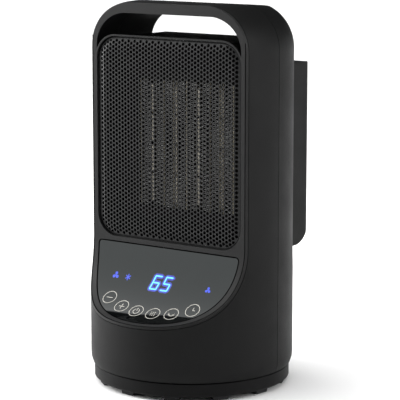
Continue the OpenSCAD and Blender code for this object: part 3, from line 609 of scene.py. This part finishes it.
def glow(name, colour, strength):
    """Lit display area seen through the dark lens."""
    n = Nodes(name)
    grain = n.spread(n.noise(900, 2), strength * 0.85, strength * 1.1)
    return n.set(Base_Color=(0.02, 0.03, 0.06, 1), Emission_Color=(*colour, 1), Emission_Strength=grain,
                 Roughness=0.25)


def printed(name, colour):
    """Screen-printed ink with slightly uneven cover."""
    n = Nodes(name)
    cover = n.noise(1400, 3, 0.6)
    return n.set(Base_Color=n.ramp(cover, scaled(colour, 0.8), scaled(colour, 1.1)),
                 Roughness=n.spread(cover, 0.35, 0.55), Normal=n.bump(cover, 0.00001))


# Places on the panel are as on_lens takes them: across, and down along the sweep.
PRINT_LOW, PRINT_HIGH = 0.0, 0.05           # heights above the lens
DIGITS, DIGITS_LEFT, DIGITS_TOP = "65", -9.2, 32.4
DIGIT_W, DIGIT_H, DIGIT_PITCH = 6.8, 12.6, 11.7
DIGIT_SLANT = 0.2
SEGMENTS = {"6": "afgecd", "5": "afgcd"}
# Layers of a lit bar: half its width, how far it reaches past the bar's ends, and its height.
BLOOM = (2.3, 2.1, 0.01)
HALO = (1.2, 1.2, 0.07)
CORE = (0.6, 0.3, 0.14)

FAN_ICONS = ((-49.6, 37.3, 1.2), (51.0, 38.5, 1.0))     # across, down and scale
BLADE_TIP_AT, BLADE_TIP_R, BLADE_STEM, BLADE_STEM_W = 1.7, 1.25, 2.9, 1.0
STAR_ICON = (-36, 37.4)
STAR_R, STAR_W = 3.0, 0.9
HUB_DOT = (-48.6, 38.2, 0.8)                # across, down and radius
ICON_HIGH, HUB_HIGH = 0.03, 0.045


def digit_segments(char, left, top):
    """Centre lines of the lit bars of one slanted seven-bar digit."""
    x0, x1 = left, left + DIGIT_W
    y0, ym, y1 = top, top + DIGIT_H / 2, top + DIGIT_H
    bars = {"a": ((x0, y0), (x1, y0)), "g": ((x0, ym), (x1, ym)), "d": ((x0, y1), (x1, y1)),
            "f": ((x0, y0), (x0, ym)), "e": ((x0, ym), (x0, y1)),
            "b": ((x1, y0), (x1, ym)), "c": ((x1, ym), (x1, y1))}
    for key in SEGMENTS[char]:
        yield [(x + DIGIT_SLANT * (y1 - y), y) for x, y in bars[key]]


def lit_bar(builder, start, end, half, reach, high):
    """A bar with tapered ends along a line, reach longer than it at both ends, following the lens."""
    (ax, ay), (bx, by) = start, end
    length = math.hypot(bx - ax, by - ay)
    du, dv = (bx - ax) / length, (by - ay) / length
    whole = length + 2 * reach
    steps = 8
    middle = [half + (whole - 2 * half) * i / steps for i in range(1, steps)]
    places = [0.0, half, *middle, whole - half, whole]
    points = [(ax + du * (t - reach), ay + dv * (t - reach)) for t in places]
    tip_width = 0.6 * half
    widths = [tip_width] + [2 * half] * (len(places) - 2) + [tip_width]
    builder.ribbon(points, widths, PRINT_LOW, high)


def fan_blade(builder, x, down, scale, angle):
    """One blade of a fan icon: a stem and a round tip."""
    across, up = math.cos(math.radians(angle)), math.sin(math.radians(angle))
    at, stem = BLADE_TIP_AT * scale, BLADE_STEM * scale
    tip = arc(x + at * across, down - at * up, BLADE_TIP_R * scale, steps=14)
    builder.prism(tip, PRINT_LOW, ICON_HIGH)
    line = [(x, down), (x + stem * across, down - stem * up)]
    builder.ribbon(line, BLADE_STEM_W * scale, PRINT_LOW, ICON_HIGH)


def build_display():
    """Two lit digits in three layers, a fan icon on either side and a star icon."""
    bloom, halo, core = Builder(on_lens), Builder(on_lens), Builder(on_lens)
    for k, char in enumerate(DIGITS):
        for start, end in digit_segments(char, DIGITS_LEFT + k * DIGIT_PITCH, DIGITS_TOP):
            lit_bar(bloom, start, end, *BLOOM)
            lit_bar(halo, start, end, *HALO)
            lit_bar(core, start, end, *CORE)
    for angle in (90, 210, 330):
        for x, down, scale in FAN_ICONS:
            fan_blade(halo, x, down, scale, angle)
    x, down = STAR_ICON
    for angle in (90, 150, 210):
        across, along = STAR_R * math.cos(math.radians(angle)), STAR_R * math.sin(math.radians(angle))
        halo.ribbon([(x - across, down - along), (x + across, down + along)], STAR_W, PRINT_LOW, ICON_HIGH)
    halo.prism(arc(*HUB_DOT, steps=12), ICON_HIGH, HUB_HIGH)
    for name, layer, material in (
            ("display_digits_bloom", bloom, glow("led_bloom", (0.01, 0.02, 1.0), 0.42)),
            ("display_digits_glow", halo, glow("led_blue", (0.012, 0.06, 1.0), 0.9)),
            ("display_digits_core", core, glow("led_core", (0.13, 0.72, 1.0), 1.6))):
        piece(name, layer.verts, layer.faces, material, "head", smooth=False)


RING_R, RING_W = 6.6, 0.55
RINGS = {                   # place of each touch ring's middle: across and down
    "minus": (-45, 59.8), "plus": (-27, 67.5), "heat": (-9, 70.4),
    "mode": (9, 70.4), "swing": (27, 67.5), "timer": (45, 59.8),
}
SIGN_W = 0.6                # width of a sign's lines
MINUS_HALF, PLUS_HALF = 3.2, 3.0
HEAT_R, HEAT_LINE = 3.0, (-4.0, -0.6)       # the line's ends, down from the middle of the ring
DOT_PITCH, DOT_SHIFT, DOT_R = 1.9, 0.2, 0.5
SWING_R, SWING_RISE = 3.4, 1.4
SWING_TIP = (3.0, 0.2)      # an arrow's tip, from the middle of its ring
SWING_BARBS = ((0.2, -1.4), (1.6, 0.1))     # its ends: how far in from the tip, and how far down
SWING_TIP_W = 0.45
TIMER_HANDS = (3.2, 2.6)    # upwards and to the right


def build_rings():
    """Printed touch rings, each with a small sign in it."""
    ink = Builder(on_lens)

    def stroke(points, width=SIGN_W, closed=False):
        ink.ribbon(points, width, PRINT_LOW, PRINT_HIGH, closed)

    for x, down in RINGS.values():
        stroke(arc(x, down, RING_R, steps=48), RING_W, closed=True)
    x, down = RINGS["minus"]
    stroke([(x - MINUS_HALF, down), (x + MINUS_HALF, down)])
    x, down = RINGS["plus"]
    stroke([(x - PLUS_HALF, down), (x + PLUS_HALF, down)])
    stroke([(x, down - PLUS_HALF), (x, down - SIGN_W / 2)])
    stroke([(x, down + SIGN_W / 2), (x, down + PLUS_HALF)])
    x, down = RINGS["heat"]
    stroke(arc(x, down, HEAT_R, -60, 240, 24))
    stroke([(x, down + end) for end in HEAT_LINE])
    x, down = RINGS["mode"]
    for row in (-1, 0, 1):
        for col in (-1, 0, 1):
            dot = arc(x + col * DOT_PITCH + row * DOT_SHIFT, down + row * DOT_PITCH, DOT_R, steps=10)
            ink.prism(dot, PRINT_LOW, PRINT_HIGH)
    x, down = RINGS["swing"]
    stroke(arc(x, down - SWING_RISE, SWING_R, 30, 150, 16))
    for side in (-1, 1):
        tip_x, tip_down = x + side * SWING_TIP[0], down + SWING_TIP[1]
        upper, lower = [(tip_x - side * inwards, tip_down + down_by) for inwards, down_by in SWING_BARBS]
        stroke([upper, (tip_x, tip_down), lower], SWING_TIP_W)
    x, down = RINGS["timer"]
    up, right = TIMER_HANDS
    stroke([(x, down - up), (x, down)])
    stroke([(x + SIGN_W / 2, down), (x + right, down)])
    piece("touch_ring_print", ink.verts, ink.faces, printed("ink_beige", (0.52, 0.50, 0.45)), "head",
          smooth=False)


LINE_R, LINE_W = 89.2, 0.8  # painted shadow line in the gap at the frame's outer edge, about the tower's axis
LENS_LINE_W = 0.95          # the painted shadow line round the lens
LINE_TOP_Z = 306.0
LINE_LIFT = 0.23            # from the lens's surface to just above the frame's
LINE_T = 0.1                # its own thickness
LINE_CURVE_STEPS, LINE_FLAT_STEPS = 60, 20


def build_gap_shadows():
    """Painted shadow: dark lines in the gaps where the frame's face meets the shell below its top, and round
    the lens.
    """
    bottom = math.acos((-LINE_R - SWEEP_CENTRE_Y) / SWEEP_R)

    def half(angle):
        y = SWEEP_CENTRE_Y + SWEEP_R * math.cos(angle)
        return math.sqrt(max(0.0, LINE_R ** 2 - y * y))

    angles = [bottom * math.sin(math.pi / 2 * i / LINE_CURVE_STEPS) for i in range(LINE_CURVE_STEPS)]
    side = [(half(0), -(LINE_TOP_Z - SWEEP_CENTRE_Z) * i / LINE_FLAT_STEPS)
            for i in range(LINE_FLAT_STEPS, 0, -1)]
    side += [(half(a), a * SWEEP_R) for a in angles]
    path = side + [(-x, down) for x, down in reversed(side)]

    def place(x, down, lift):
        """As on_lens, and on the flat face above the sweep where down is negative."""
        if down < 0:
            return (x, SWEEP_CENTRE_Y + LENS_R - lift, SWEEP_CENTRE_Z - down)
        return on_lens(x, down, lift)

    line = Builder(place)
    line.ribbon(path, LINE_W, LINE_LIFT - LINE_T, LINE_LIFT)
    rows = [(x, down) for x, down in lens_outline() if x > 1]
    rows += [(-x, down) for x, down in reversed(rows)]
    line.ribbon(rows, LENS_LINE_W, LINE_LIFT - LINE_T, LINE_LIFT, closed=True)
    # painted shadow: a near-black ribbon with no shine, laid where the gaps are in shade; its grain only
    # varies that dark
    n = Nodes("parting_shadow")
    shadow_grain = n.noise(800, 3)
    dark = n.set(Base_Color=n.ramp(shadow_grain, (0.0003, 0.0003, 0.0003), (0.0009, 0.0009, 0.0009)),
                 Roughness=0.95, Normal=n.bump(shadow_grain, 0.00002), Specular_IOR_Level=0.0)
    piece("frame_gap_shadow", line.verts, line.faces, dark, "head", smooth=False)


build_lens()
build_gap_shadows()
build_display()
build_rings()

# ---------------------------------------------------------------- outlet grille: fine perforated sheet

GRILLE_HALF_W, GRILLE_HALF_H, GRILLE_ROUND = 75.7, 87.35, 18.4
GRILLE_MID_Z = 216.85
GRILLE_FRONT_Y, GRILLE_EDGE_Y = -35.65, -34.05          # in its middle and at its edge
FOLD_IN = 6.0               # the sheet slopes back within this distance of its edge
SHEET_T = 0.7
ROW_PITCH = 3.79
COLUMN_STEP = ROW_PITCH * math.sqrt(3) / 2
HALF_COLUMNS, HALF_ROWS = 24, 25
HOLE_R, HOLE_STEPS = 1.5, 12
CELL_INSET = 0.45           # least distance of a cell's corners from the sheet's edge,
HOLE_INSET = 0.65           # of a hole's edge,
CENTRE_INSET = 0.8          # and of a hole's centre
MERGE = 0.02                # points nearer than this become one


def rounded_box(half_w, half_h, r, per_corner=14, per_side=24):
    """Outline of a rounded rectangle, anticlockwise from the right-hand side."""
    pts = []
    corners = ((half_w - r, half_h - r, 0), (r - half_w, half_h - r, 90),
               (r - half_w, r - half_h, 180), (half_w - r, r - half_h, 270))
    for k, (cx, cy, start) in enumerate(corners):
        pts += arc(cx, cy, r, start, start + 90, per_corner)
        next_x, next_y, next_start = corners[(k + 1) % 4]
        goal_x, goal_y = arc(next_x, next_y, r, next_start, next_start + 90, per_corner)[0]
        x, y = pts[-1]
        pts += [(x + (goal_x - x) * i / per_side, y + (goal_y - y) * i / per_side)
                for i in range(1, per_side)]
    return pts


def inset_of(x, z):
    """Distance of a point inside the grille's outline, and the direction towards the outline."""
    cx, cz = abs(x) - (GRILLE_HALF_W - GRILLE_ROUND), abs(z) - (GRILLE_HALF_H - GRILLE_ROUND)
    sx, sz = math.copysign(1, x), math.copysign(1, z)
    if cx > 0 and cz > 0:
        length = math.hypot(cx, cz)
        return GRILLE_ROUND - length, (sx * cx / length, sz * cz / length)
    if GRILLE_HALF_W - abs(x) < GRILLE_HALF_H - abs(z):
        return GRILLE_HALF_W - abs(x), (sx, 0)
    return GRILLE_HALF_H - abs(z), (0, sz)


def held(x, z, least):
    """A point of the sheet, kept at least this far inside its outline."""
    inset, (out_x, out_z) = inset_of(x, z)
    push = max(0.0, least - inset)
    return (x - out_x * push, 0.0, z - out_z * push)


def sheet_y(x, z):
    """Depth of the sheet: flat in the middle, sloping back near its edge."""
    inset = inset_of(x, z)[0]
    slope = min(1.0, max(0.0, 1 - inset / FOLD_IN))
    return GRILLE_FRONT_Y + (GRILLE_EDGE_Y - GRILLE_FRONT_Y) * slope


def longest_border(bm):
    """Boundary edges of the outermost loop of an open mesh."""
    left = {e for e in bm.edges if e.is_boundary}
    best = []
    while left:
        chain, stack = [], [left.pop()]
        while stack:
            edge = stack.pop()
            chain.append(edge)
            for v in edge.verts:
                for other in v.link_edges:
                    if other in left:
                        left.discard(other)
                        stack.append(other)
        if len(chain) > len(best):
            best = chain
    return best


def grille_sheet():
    """Hexagonal cells, each a ring of faces round its hole, joined into one perforated sheet."""
    known = {}
    bm = bmesh.new()

    def vert(x, z):
        key = (round(x, 2), round(z, 2))
        if key not in known:
            known[key] = bm.verts.new(held(x, z, CELL_INSET))
        return known[key]

    def hole_vert(x, z, k):
        turn = math.tau * k / HOLE_STEPS
        return bm.verts.new(held(x + HOLE_R * math.cos(turn), z + HOLE_R * math.sin(turn), HOLE_INSET))

    for i in range(-HALF_COLUMNS, HALF_COLUMNS + 1):
        for j in range(-HALF_ROWS, HALF_ROWS):
            x, z = i * COLUMN_STEP, (j + 0.5 * (i % 2)) * ROW_PITCH
            if inset_of(x, z)[0] < CENTRE_INSET:
                continue
            outer = [vert(x + across * COLUMN_STEP / 3, z + up * ROW_PITCH / 2)
                     for across, up in ((2, 0), (1, 1), (-1, 1), (-2, 0), (-1, -1), (1, -1))]
            inner = [hole_vert(x, z, k) for k in range(HOLE_STEPS)]
            for k in range(6):
                n = (k + 1) % 6
                bm.faces.new((outer[k], outer[n], inner[(2 * k + 2) % HOLE_STEPS], inner[2 * k + 1]))
                bm.faces.new((outer[k], inner[2 * k + 1], inner[2 * k]))
    bmesh.ops.remove_doubles(bm, verts=bm.verts, dist=MERGE)
    bmesh.ops.dissolve_degenerate(bm, dist=MERGE, edges=bm.edges)
    rim = longest_border(bm)
    outline = [bm.verts.new((x, 0.0, z))
               for x, z in rounded_box(GRILLE_HALF_W, GRILLE_HALF_H, GRILLE_ROUND)]
    loop = [bm.edges.new((outline[k], outline[(k + 1) % len(outline)])) for k in range(len(outline))]
    bmesh.ops.triangle_fill(bm, use_beauty=True, use_dissolve=False, edges=rim + loop)
    for v in bm.verts:
        x, z = v.co.x, v.co.z
        v.co = (x * MM, sheet_y(x, z) * MM, (z + GRILLE_MID_Z) * MM)
    return bm


def build_grille():
    """The perforated sheet, with its front towards -Y and its thickness behind it."""
    bm = grille_sheet()
    bmesh.ops.recalc_face_normals(bm, faces=bm.faces)
    if sum(f.normal.y * f.calc_area() for f in bm.faces) > 0:
        bmesh.ops.reverse_faces(bm, faces=bm.faces)
    mesh = bpy.data.meshes.new("outlet_grille_sheet")
    bm.to_mesh(mesh)
    bm.free()
    obj = link(bpy.data.objects.new("outlet_grille_sheet", mesh))
    mesh.materials.append(MATERIALS["grille_metal"])
    solid = obj.modifiers.new("sheet", "SOLIDIFY")
    solid.thickness = SHEET_T * MM
    solid.offset = -1
    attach(obj, "head")
    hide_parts("outlet_grille")


build_grille()

# ---------------------------------------------------------------- heating block: corrugated fins

TUBES = (-37.44, -12.48, 12.48, 37.44)
FIN_OFFSET = 6.99           # from a tube's middle to a strip's
FIN_STRIPS = [tube + side * FIN_OFFSET for tube in TUBES for side in (-1, 1)]
FIN_HALF_W, FIN_HALF_D, FIN_HALF_H = 3.85, 6.9, 56.4
FIN_FOLDS = 60
FIN_TIP = 0.85              # half the width of a fold's tip, which makes the strip about 0.4 thick
FIN_MID_Z = 210


def build_fins():
    """Aluminium strips folded in a fine zigzag beside each tube."""
    verts, faces = [], []
    for x in FIN_STRIPS:
        base = len(verts)
        for i in range(FIN_FOLDS + 1):
            side = 1 if i % 2 else -1
            z = FIN_MID_Z - FIN_HALF_H + 2 * FIN_HALF_H * i / FIN_FOLDS
            for y, tip in ((-FIN_HALF_D, -1), (-FIN_HALF_D, 1), (FIN_HALF_D, 1), (FIN_HALF_D, -1)):
                verts.append((x + side * FIN_HALF_W + tip * FIN_TIP, y, z))
        for i in range(FIN_FOLDS):
            low = base + 4 * i
            for k in range(4):
                m = (k + 1) % 4
                faces.append([low + k, low + m, low + 4 + m, low + 4 + k])
        last = base + 4 * FIN_FOLDS
        faces.append([base, base + 3, base + 2, base + 1])
        faces.append([last, last + 1, last + 2, last + 3])
    obj = piece("heater_fin_strips", verts, faces, MATERIALS["fin_aluminium"], "head", smooth=False)
    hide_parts("heater_fins")


build_fins()
